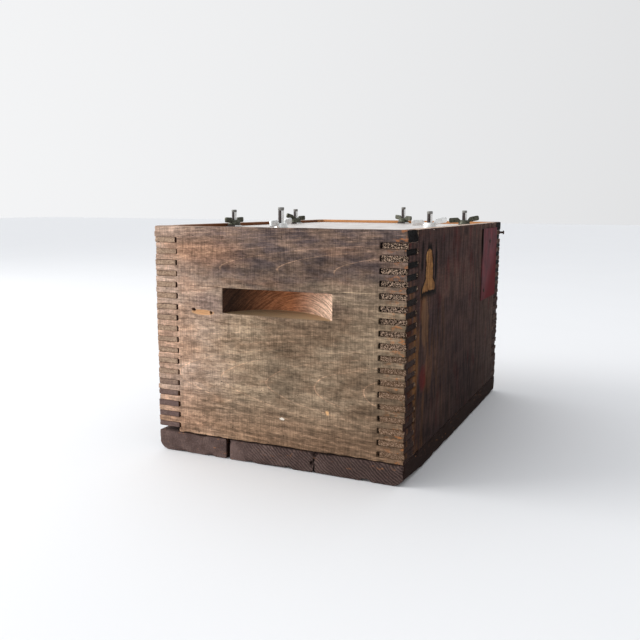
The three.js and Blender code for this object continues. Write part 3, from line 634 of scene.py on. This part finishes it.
def stud_painted_reflection():
    """Plain tip; below it a thread with a painted reflection: its right side is painted bright and its left
    side dark.
    """
    s = Shade("stud_painted_reflection")
    nx, ny, _ = s.split(s.object_normal)
    turned = s.plus(s.times(nx, 0.911), s.times(ny, 0.4126))
    cloud = s.noise(s.point, 0.8, 3.0)
    # Painted reflection: the side of the thread turned to the right is painted near white, the side turned to
    # the left dark.
    flank = s.mix(s.rise(turned, 0.0, 0.25), srgb(58, 48, 46), srgb(250, 250, 248))
    tip = s.rise(s.z, *TIP_Z)
    end_stud = s.rise(s.size(s.y), 120.0, 130.0)
    high_tip = s.rise(s.z, *HIGH_TIP_Z)
    tip = s.mix(end_stud, tip, high_tip)
    colour = s.mix(tip, flank, srgb(128, 126, 122))
    colour = s.shaded(colour, s.rise(cloud, 0.3, 0.7, 0.9, 1.1))
    return s.finish(colour, 0.5, cloud, 0.1, 0.0002, Metallic=0.25)


def cover_sheet():
    s = Shade("dull_cover_sheet")
    cloud = s.noise(s.point, 0.06, 5.0, 0.6)
    brushed = s.noise(s.stretched(0.05, 2.2, 1.0), 1.0, 3.0, 0.6)
    spots = s.rise(s.noise(s.stretched(1, 1, 1, (8, 3, 1)), 0.16, 4.0, 0.7), 0.66, 0.74)
    colour = s.mix(s.rise(cloud, 0.35, 0.65), srgb(206, 198, 192), srgb(192, 184, 178))
    colour = s.shaded(colour, s.rise(brushed, 0.2, 0.8, 0.92, 1.05))
    colour = s.mix(s.times(spots, 0.6), colour, srgb(112, 96, 80))
    rough = s.rise(cloud, 0.3, 0.7, 0.32, 0.52)
    return s.finish(colour, rough, brushed, 0.1, 0.0002, Metallic=0.6)


def red_paint():
    s = Shade("worn_red_paint")
    cloud = s.noise(s.point, 0.07, 5.0, 0.6)
    colour = s.mix(s.rise(cloud, 0.35, 0.65), srgb(112, 60, 64), srgb(92, 60, 63))
    drips = s.noise(s.stretched(1, 1.0, 0.16), 0.3, 4.0, 0.65)
    colour = s.shaded(colour, s.rise(drips, 0.36, 0.64, 0.7, 1.2))
    low_corner = s.rise(s.plus(s.times(s.y, 0.5), s.times(s.minus(160.0, s.z), 0.6)), 55.0, 80.0)
    colour = s.mix(low_corner, colour, srgb(92, 24, 28))
    chips = s.rise(s.noise(s.point, 0.22, 5.0, 0.7), 0.62, 0.68)
    colour = s.mix(chips, colour, srgb(58, 36, 32))
    # Painted shadow: a dark line along the plate's left edge, strongest towards the top.
    edge = s.times(s.rise(s.y, 79.0, 82.0, 1.0, 0.0), s.rise(s.z, 155.0, 175.0, 0.3, 1.0))
    colour = s.mix(edge, colour, srgb(30, 18, 16))
    return s.finish(colour, 0.75, s.minus(cloud, chips), 0.3, 0.0003, Specular_IOR_Level=0.04)


def ebonite():
    s = Shade("black_ebonite")
    cloud = s.noise(s.point, 0.05, 4.0)
    dust = s.rise(s.noise(s.point, 1.4, 4.0, 0.7), 0.55, 0.75)
    colour = s.mix(s.times(dust, 0.25), srgb(26, 23, 20), srgb(92, 84, 72))
    return s.finish(colour, s.rise(cloud, 0.3, 0.7, 0.28, 0.5), cloud, 0.05, 0.0002)


def dial_card():
    """Cream card with a plain arc of graduations around the pointer's pivot."""
    s = Shade("dial_card")
    cloud = s.noise(s.point, 0.08, 4.0)
    colour = s.mix(s.rise(cloud, 0.35, 0.65), srgb(232, 222, 192), srgb(214, 200, 166))
    dx = s.x
    dy = s.minus(s.y, DIAL_PIVOT_Y)
    reach = s.math("SQRT", s.plus(s.times(dx, dx), s.times(dy, dy)))
    angle = s.math("ARCTAN2", dx, dy)
    tick = s.math("PINGPONG", s.times(angle, 180 / math.pi / DEGREES_PER_TICK), 0.5)
    ticks = s.times(s.rise(tick, 0.05, 0.09, 1.0, 0.0), s.band(reach, *TICK_ARC, 0.15))
    arc = s.band(reach, *DIAL_ARC, 0.12)
    ink = s.times(s.math("MAXIMUM", ticks, arc), s.rise(s.size(angle), 0.68, 0.7, 1.0, 0.0))
    return s.finish(s.mix(ink, colour, srgb(28, 24, 22)), 0.8)


def clear_glass():
    s = Shade("meter_glass")
    smudge = s.noise(s.point, 0.1, 3.0)
    return s.finish((1, 1, 1, 1), s.rise(smudge, 0.3, 0.7, 0.02, 0.08), Transmission_Weight=1.0, IOR=1.45)


END_WOOD = end_wood()
SIDE_WOOD = side_wood()
BASE_WOOD = base_wood()
# The wing nuts are one steel in a lit and a shaded copy: painted shade makes the dark copy and painted
# reflection makes the near-white copy.
SHADED_NUT_STEEL = worn_metal("shaded_nut_steel", srgb(104, 104, 90), srgb(56, 56, 46), 0.5, 0.7)
LIT_NUT_STEEL = worn_metal("lit_nut_steel", srgb(252, 252, 250), srgb(226, 226, 222), 0.25, 0.5)
STUD_STEEL = stud_painted_reflection()
RUSTY_IRON = worn_metal("rusty_iron", srgb(72, 52, 40), srgb(42, 30, 26), 0.7, 0.4)
BRASS = worn_metal("aged_brass", srgb(206, 168, 100), srgb(150, 116, 66), 0.32)
MACHINED = worn_metal("machined_steel", srgb(190, 190, 188), srgb(150, 148, 142), 0.3)
COPPER = worn_metal("copper_winding", srgb(196, 120, 76), srgb(130, 72, 44), 0.4, 1.0, 2.0)
MAGNET = worn_metal("magnet_steel", srgb(70, 76, 88), srgb(44, 46, 54), 0.5, 0.7)
JAPANNED = worn_metal("japanned_casting", srgb(44, 44, 46), srgb(28, 28, 30), 0.55, 0.2)
COVER_SHEET = cover_sheet()
RED_PAINT = red_paint()
EBONITE = ebonite()
DIAL_CARD = dial_card()
GLASS = clear_glass()

SLOT_MATERIALS = {
    "case_end_wood": END_WOOD,
    "case_side_wood": SIDE_WOOD,
    "base_wood": BASE_WOOD,
    "cover_sheet": COVER_SHEET,
    "stud_steel": STUD_STEEL,
    "wing_nut_dark": SHADED_NUT_STEEL,
    "wing_nut_bright": LIT_NUT_STEEL,
    "red_sheet": RED_PAINT,
    "iron_nail": RUSTY_IRON,
    "ebonite": EBONITE,
    "brass": BRASS,
    "dial_card": DIAL_CARD,
    "inner_steel": MACHINED,
    "copper_winding": COPPER,
    "magnet_steel": MAGNET,
    "meter_glass": GLASS,
    "cast_iron": JAPANNED,
}
slot_of = {part["node"]: part["material_slot"] for part in frame["record"]["subparts"]}
for name, node in nodes.items():
    node.data.materials.clear()
    node.data.materials.append(SLOT_MATERIALS[slot_of[name]])


def stands_for(piece, names, body):
    """The piece takes the place of CAD nodes on one body, in the first one's material."""
    slot = slot_of[names[0]]
    piece.data.materials.clear()
    piece.data.materials.append(SLOT_MATERIALS[slot])
    smooth(piece)
    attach(piece, body)
    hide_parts(*names)


# ---- worn walls ----------------------------------------------------------------------

FINGER_MIDDLES = [TOP_FINGER_Z - k * FINGER_PITCH for k in range(FINGER_COUNT)]
VOXEL = 0.6
THIN = 0.14


def finger_chips(z, seed):
    """How far each finger's end is worn back, in millimetres, at heights z."""
    row = np.round((TOP_FINGER_Z - z) / (FINGER_PITCH / 2)).astype(int)
    random = np.random.default_rng(seed).uniform(0, 1, 60)
    return random[np.clip(row + 4, 0, 59)] ** 2


def wear(piece, names, end_axis, seed, corner_loss):
    """Wears a wall: soft edges, chipped corners, ragged fingers, uneven faces."""
    points, normals = vertices_of(piece)
    low, high = box_of(names)
    near = np.sort(np.minimum(points - low, high - points), axis=1)
    reach = (high[end_axis] - low[end_axis]) / 2
    from_end = reach - np.abs(points[:, end_axis])
    # The joint is tight: the fingers' upper and lower sides meet their neighbours.
    in_joint = (from_end < JOINT_REACH) & (np.abs(normals[:, 2]) > 0.7) & (points[:, 2] < TOP_FINGER_Z + 3)
    points = points + normals * (in_joint * FINGER_SWELL)[:, None]
    edge = np.exp(-((near[:, 1] / 1.3) ** 2))
    chip = np.clip(lumps(points, (7, 7, 5), seed) - 0.1, 0, 1)
    grain = [1.8, 1.8, 1.8]
    grain[end_axis] = 26
    face = 0.1 * lumps(points, grain, seed + 1) + 0.16 * lumps(points, (30, 30, 22), seed + 2)
    inward = edge * (0.15 + 1.5 * chip * corner_loss) + np.clip(face + 0.1, 0, None) * ~in_joint
    points = points - normals * inward[:, None]
    # The fingers' ends stop short of the face by different amounts, and are torn.
    at_end = np.clip(1 - from_end / 2.5, 0, 1)
    torn = np.clip(lumps(points, (1.7, 1.7, 1.7), seed + 3) + 0.1, 0, None) * 0.5
    back = at_end * (finger_chips(points[:, 2], seed) * FINGER_WEAR + torn)
    points[:, end_axis] -= np.sign(points[:, end_axis]) * back
    move_vertices(piece, points, names)


def slots_beside(side, deep, count):
    """Open slots at the inner ends of the side wall's top fingers, on the front of the case."""
    boxes = []
    for middle in FINGER_MIDDLES[:count]:
        x0, x1 = sorted((side * (INNER_X - deep), side * (INNER_X + 1.4)))
        boxes.append((x0, x1, -HALF_LENGTH - 2, -HALF_LENGTH + 22, middle - 2.2, middle + 2.2))
    return boxes


def lip_boxes(names):
    """The wall's share of the lip around the cover, which is cut from the same board."""
    z0, z1 = RIM_Z - LIP_DEPTH, RIM_Z
    if names[0] in ("left_wall", "right_wall"):
        side = -1 if names[0] == "left_wall" else 1
        x0, x1 = sorted((side * LIP_X, side * HALF_WIDTH))
        return [(x0, x1, -INNER_Y, INNER_Y, z0, z1)]
    side = -1 if names[0] == "front_wall" else 1
    y0, y1 = sorted((side * LIP_Y, side * HALF_LENGTH))
    boxes = [(-HALF_WIDTH, HALF_WIDTH, y0, y1, z0, z1)]
    y0, y1 = sorted((side * INNER_Y, side * HALF_LENGTH))
    boxes += [(-HALF_WIDTH, -LIP_X, y0, y1, z0, z1), (LIP_X, HALF_WIDTH, y0, y1, z0, z1)]
    return boxes


def worn_wall(names, end_axis, seed, corner_loss, voxel, cutters=()):
    """A wall with its lip as one board, cut, remeshed and worn."""
    wall = cad_copy(names[0] + "_worn", names[0])
    if cutters:
        cut(wall, *cutters)
    bm = bmesh.new()
    bm.from_mesh(wall.data)
    bm.from_mesh(boxes_mesh("lip", lip_boxes(names)))
    bm.to_mesh(wall.data)
    bm.free()
    remeshed(wall, voxel)
    wear(wall, names, end_axis, seed, corner_loss)
    stands_for(thinned(wall, THIN), names, "case")


front_cuts = slots_beside(-1, 0.75, FINGER_COUNT) + slots_beside(1, 0.55, FINGER_COUNT)
front_cuts.append((-HALF_WIDTH - 2, -93.0, -HALF_LENGTH - 2, -HALF_LENGTH + 40, 17.0, 22.4))
splinter = [
    ((-66.5, -HALF_LENGTH, 126.4), (10.0, 1.6, 1.9)),
    ((-75.0, -HALF_LENGTH, 128.2), (1.6, 4.0, 1.2)),
    ((-58.5, -HALF_LENGTH, 126.4), (1.5, 4.0, 1.2)),
    ((-45.0, -HALF_LENGTH, 189.0), (2.2, 0.9, 1.6)),
]
worn_wall(
    ("front_wall", "rim_front"),
    0,
    11,
    1.0,
    VOXEL,
    (boxes_mesh("slots", front_cuts), blob_mesh("splinter", splinter)),
)
worn_wall(("back_wall", "rim_back"), 0, 23, 1.0, VOXEL * 1.5)
relief = [(-INNER_X - 0.8, -91.0, -HALF_LENGTH - 2, -INNER_Y, 10.0, 189.3)]
worn_wall(("left_wall", "rim_left"), 1, 37, 0.8, VOXEL * 1.2, (boxes_mesh("relief", relief),))
relief = [(91.0, INNER_X + 0.6, -HALF_LENGTH - 2, -INNER_Y, 10.0, 189.3)]
worn_wall(("right_wall", "rim_right"), 1, 41, 1.6, VOXEL * 1.2, (boxes_mesh("relief", relief),))

# ---- bottom boards -------------------------------------------------------------------


def round_corner(points, x_side, x_reach, z_reach):
    """Rounds a board's lower long edge at its front end."""
    x_edge = HALF_WIDTH - x_reach
    u = np.clip((x_side * points[:, 0] - x_edge) / x_reach, 0, 1)
    lift = (1 - np.sqrt(1 - u * u)) * z_reach
    fade = np.clip(1 - (points[:, 1] + HALF_LENGTH) / 60.0, 0.15, 1)
    share = np.clip(1 - points[:, 2] / BOARD_TOP_Z, 0, 1)
    points[:, 2] += lift * fade * share


def worn_board(name, node, seed, cutters, corner):
    board = cad_copy(name, node)
    if cutters:
        cut(board, *cutters)
    remeshed(board, VOXEL * 2)
    points, normals = vertices_of(board)
    low, high = box_of([node])
    near = np.sort(np.minimum(points - low, high - points), axis=1)
    edge = np.exp(-((near[:, 1] / 2.2) ** 2))
    chip = np.clip(lumps(points, (9, 9, 6), seed), 0, 1)
    face = 0.22 * lumps(points, (14, 40, 5), seed + 1)
    inward = edge * (0.5 + 1.6 * chip) + np.clip(face + 0.2, 0, None)
    under = points[:, 2] < 0.6
    inward = np.where(under & (near[:, 1] > 6), 0, inward)
    points = points - normals * inward[:, None]
    corner(points)
    move_vertices(board, points, [node])
    stands_for(thinned(board, THIN * 2), [node], "case")


SPLIT_STEPS = ((37.4, 13.4, 20.0), (36.4, 9.2, 13.6), (35.3, 4.4, 9.4), (36.3, -1.0, 4.6))
split_y = (-HALF_LENGTH - 2, -HALF_LENGTH + SPLIT_DEPTH)
split = [(x, x + SPLIT_WIDTH, *split_y, z0, z1) for x, z0, z1 in SPLIT_STEPS]
notches = [((82.6, -HALF_LENGTH, 0.0), (4.5, 9.0, 2.2)), ((13.4, -HALF_LENGTH, 0.0), (3.0, 7.0, 1.4))]
notches.append(((38.0, -HALF_LENGTH, 18.0), (3.4, 4.0, 3.6)))
notches.append(((35.5, -HALF_LENGTH, 8.5), (1.6, 4.0, 2.2)))
worn_board("bottom_board_left_worn", "bottom_board_left", 51, [], lambda p: round_corner(p, -1, 9, 10))
worn_board(
    "bottom_board_right_worn",
    "bottom_board_right",
    53,
    [boxes_mesh("split", split), blob_mesh("notches", notches)],
    lambda p: round_corner(p, 1, 10, 9),
)

# ---- studs and wing nuts -------------------------------------------------------------


def threaded_stud(name):
    """A stud with a rolled thread on its exposed part and a plain, slightly domed tip."""
    low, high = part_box(f"stud_{name}")
    x = (low.x + high.x) / 2 / MM
    y = (low.y + high.y) / 2 / MM
    bottom, top = low.z / MM, high.z / MM
    radius = STUD_RADIUS
    pitch = THREAD_PITCH
    around = STUD_SIDES
    tip = top - PLAIN_TIP
    heights = [bottom, RIM_Z - 9] + list(np.arange(RIM_Z - 8, tip, pitch / 6))
    plain = [(tip + 0.1, radius * 0.9), (tip + 0.3, radius), (top - 0.35, radius), (top, radius * 0.86)]
    rings = []
    for z in heights:
        ring = []
        for i in range(around):
            angle = 2 * math.pi * i / around
            depth = 0.5 + 0.5 * math.cos(2 * math.pi * z / pitch - angle)
            ring.append((angle, radius - (THREAD_DEPTH * depth if z > RIM_Z - 8.5 else 0), z))
        rings.append(ring)
    for z, r in plain:
        rings.append([(2 * math.pi * i / around, r, z) for i in range(around)])
    verts = [(x + r * math.cos(a), y + r * math.sin(a), z) for ring in rings for a, r, z in ring]
    faces = []
    for row in range(len(rings) - 1):
        for i in range(around):
            j = (i + 1) % around
            first, second = row * around, (row + 1) * around
            faces.append((first + i, first + j, second + j, second + i))
    faces.append(tuple(reversed(range(around))))
    last = (len(rings) - 1) * around
    faces.append(tuple(range(last, last + around)))
    stud = link(f"threaded_stud_{name}", mesh_from("stud", verts, faces))
    stands_for(stud, [f"stud_{name}"], "case")


for index, name in enumerate(STUDS):
    threaded_stud(name)
    nut = cad_copy(f"stamped_wing_nut_{name}", f"wing_nut_{name}")
    remeshed(nut, NUT_VOXEL)
    points, normals = vertices_of(nut)
    pits = np.clip(lumps(points, (2.4, 2.4, 2.4), 60 + index), 0, 1) * NUT_PITTING
    points -= normals * pits[:, None]
    move_vertices(nut, points, [f"wing_nut_{name}"])
    stands_for(thinned(nut, NUT_THIN), [f"wing_nut_{name}"], f"nut_{name}")

# ---- camera, light, floor ------------------------------------------------------------

YAW = math.radians(24.325)
PITCH = math.radians(8.702)
ROLL = math.radians(0.2715)
CAMERA_PLACE = Vector((0.28335, -0.70512, 0.21645))
LENS = 42.18
SENSOR = 36
NEAR_CLIP = 0.02
FLOOR_REACH = 9000.0
forward = Vector((-math.sin(YAW) * math.cos(PITCH), math.cos(YAW) * math.cos(PITCH), -math.sin(PITCH)))
level = Vector((math.cos(YAW), math.sin(YAW), 0))
upward = level.cross(forward)
right_axis = math.cos(ROLL) * level + math.sin(ROLL) * upward
up_axis = math.cos(ROLL) * upward - math.sin(ROLL) * level
camera = bpy.data.objects.new("camera", bpy.data.cameras.new("camera"))
bpy.context.scene.collection.objects.link(camera)
camera.data.lens = LENS
camera.data.sensor_width = SENSOR
camera.data.clip_start = NEAR_CLIP
turn = Matrix((right_axis, up_axis, -forward)).transposed().to_4x4()
camera.matrix_world = Matrix.Translation(CAMERA_PLACE) @ turn
bpy.context.scene.camera = camera

floor_corners = [(u * FLOOR_REACH, v * FLOOR_REACH, 0) for u, v in ((-1, -1), (1, -1), (1, 1), (-1, 1))]
floor = link("floor", mesh_from("floor", floor_corners, [(0, 1, 2, 3)]))
pale = Shade("pale_floor")
soft = pale.noise(pale.point, 0.004, 2.0)
floor.data.materials.append(pale.finish(pale.mix(soft, (0.87, 0.87, 0.875, 1), (0.85, 0.85, 0.855, 1)), 0.8))


def area_light(name, place, aim, size, watts, colour=(1, 1, 1)):
    lamp = bpy.data.lights.new(name, "AREA")
    lamp.shape = "RECTANGLE"
    lamp.size, lamp.size_y = size
    lamp.energy = watts
    lamp.color = colour
    holder = bpy.data.objects.new(name, lamp)
    bpy.context.scene.collection.objects.link(holder)
    holder.location = place
    holder.rotation_euler = (Vector(aim) - Vector(place)).to_track_quat("-Z", "Y").to_euler()


def sideways(background, from_x, to_x, start, end):
    """Lets a background's strength go from start to end as its direction turns along X."""
    tree = background.id_data
    direction = tree.nodes.new("ShaderNodeTexCoord")
    parts = tree.nodes.new("ShaderNodeSeparateXYZ")
    tree.links.new(direction.outputs["Generated"], parts.inputs[0])
    ramp = tree.nodes.new("ShaderNodeMapRange")
    tree.links.new(parts.outputs["X"], ramp.inputs["Value"])
    for key, value in (("From Min", from_x), ("From Max", to_x), ("To Min", start), ("To Max", end)):
        ramp.inputs[key].default_value = value
    tree.links.new(ramp.outputs["Result"], background.inputs["Strength"])


area_light("window", (-1.7, -0.7, 1.0), (0, 0, 0.1), (1.4, 1.3), 24, (1.0, 0.99, 0.97))

world = bpy.data.worlds.new("studio")
bpy.context.scene.world = world
world.use_nodes = True
tree = world.node_tree
ambient = tree.nodes["Background"]
ambient.inputs["Color"].default_value = (0.95, 0.97, 1.0, 1)
wall = tree.nodes.new("ShaderNodeBackground")
sideways(wall, -0.8, 0.1, 0.93, 0.75)
sideways(ambient, -1.0, 1.0, 1.52, 0.36)
wall.inputs["Color"].default_value = (0.985, 0.99, 1.0, 1)
seen = tree.nodes.new("ShaderNodeLightPath")
choose = tree.nodes.new("ShaderNodeMixShader")
tree.links.new(seen.outputs["Is Camera Ray"], choose.inputs[0])
tree.links.new(ambient.outputs[0], choose.inputs[1])
tree.links.new(wall.outputs[0], choose.inputs[2])
tree.links.new(choose.outputs[0], tree.nodes["World Output"].inputs["Surface"])
bpy.context.scene.view_settings.view_transform = "Standard"
